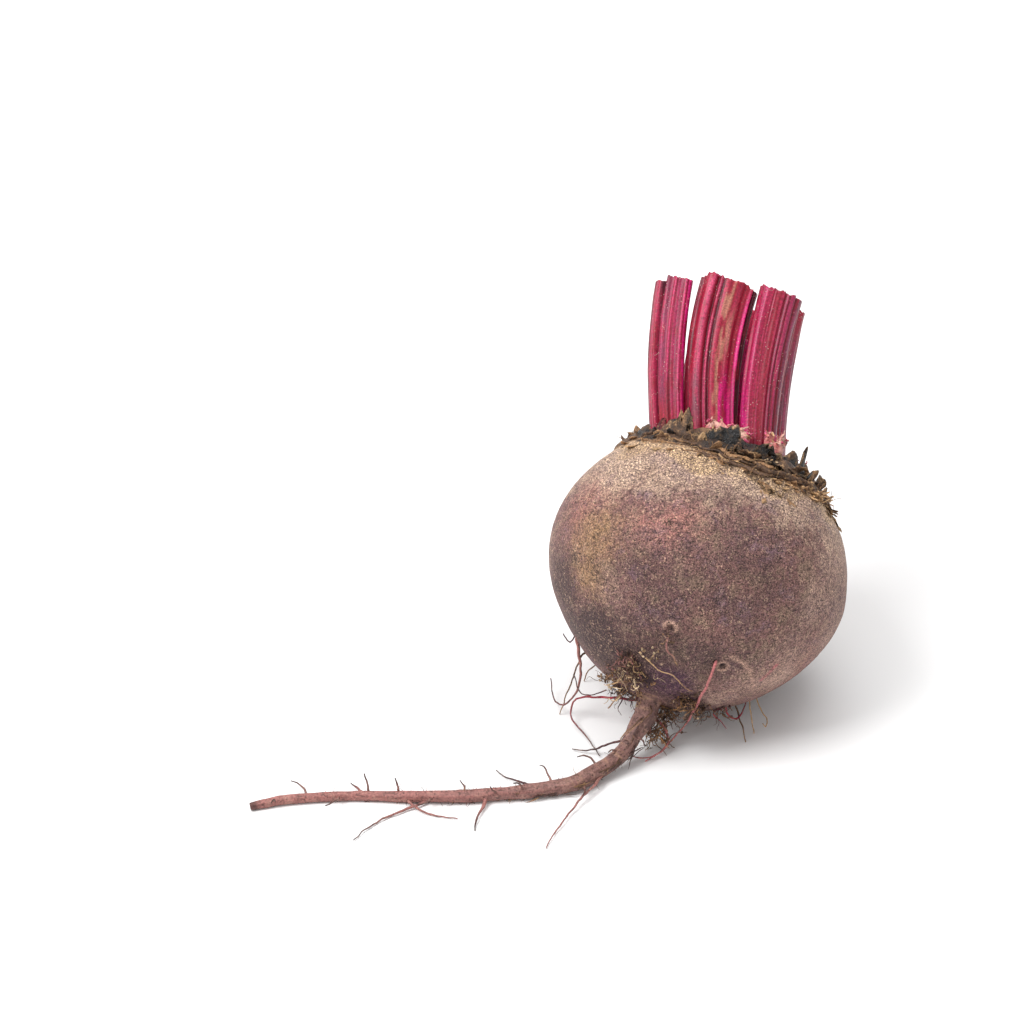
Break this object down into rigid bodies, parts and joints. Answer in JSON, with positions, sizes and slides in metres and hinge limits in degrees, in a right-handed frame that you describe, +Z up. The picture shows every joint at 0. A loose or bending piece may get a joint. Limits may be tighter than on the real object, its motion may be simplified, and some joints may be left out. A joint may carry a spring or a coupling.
{
  "type": "beetroot",
  "caption": "Fresh table beetroot, unwashed, lying on its side: round bulb, leaf stalks cut short above a dry collar, long thin taproot with rootlets",
  "frame": {"origin": "centre of the small flat spot under the bulb, on the ground it lies on", "axes": "+Z up; the taproot lies along the ground towards -X after coming out of the bulb towards -Y; the leaf stalks lean up and away from the viewer, towards +Y"},
  "size_m": [0.1416, 0.1222, 0.0926],
  "materials": {
    "beet_skin": "matt brown-purple skin with tan corky patches and traces of soil",
    "stalk_flesh": "satin crimson-magenta plant flesh, finely ribbed along its length",
    "young_flesh": "satin bright magenta plant flesh",
    "torn_flesh": "torn pale pink plant flesh, drying at its edge",
    "dry_leaf": "dry charcoal-brown leaf remains with ragged tan edges"
  },
  "bodies": {
    "root": {"bulb_and_taproot": "beet_skin", "leaf_stalk_1": "stalk_flesh", "leaf_stalk_2": "stalk_flesh", "leaf_stalk_3": "stalk_flesh", "leaf_stalk_4": "stalk_flesh", "leaf_stalk_5": "stalk_flesh", "leaf_stalk_6": "stalk_flesh", "leaf_stalk_7": "stalk_flesh", "young_stalk_1": "young_flesh", "young_stalk_2": "young_flesh", "torn_stub_1": "torn_flesh", "torn_stub_2": "torn_flesh", "torn_stub_3": "torn_flesh", "dry_leaf_collar": "dry_leaf"}
  },
  "joints": []
}
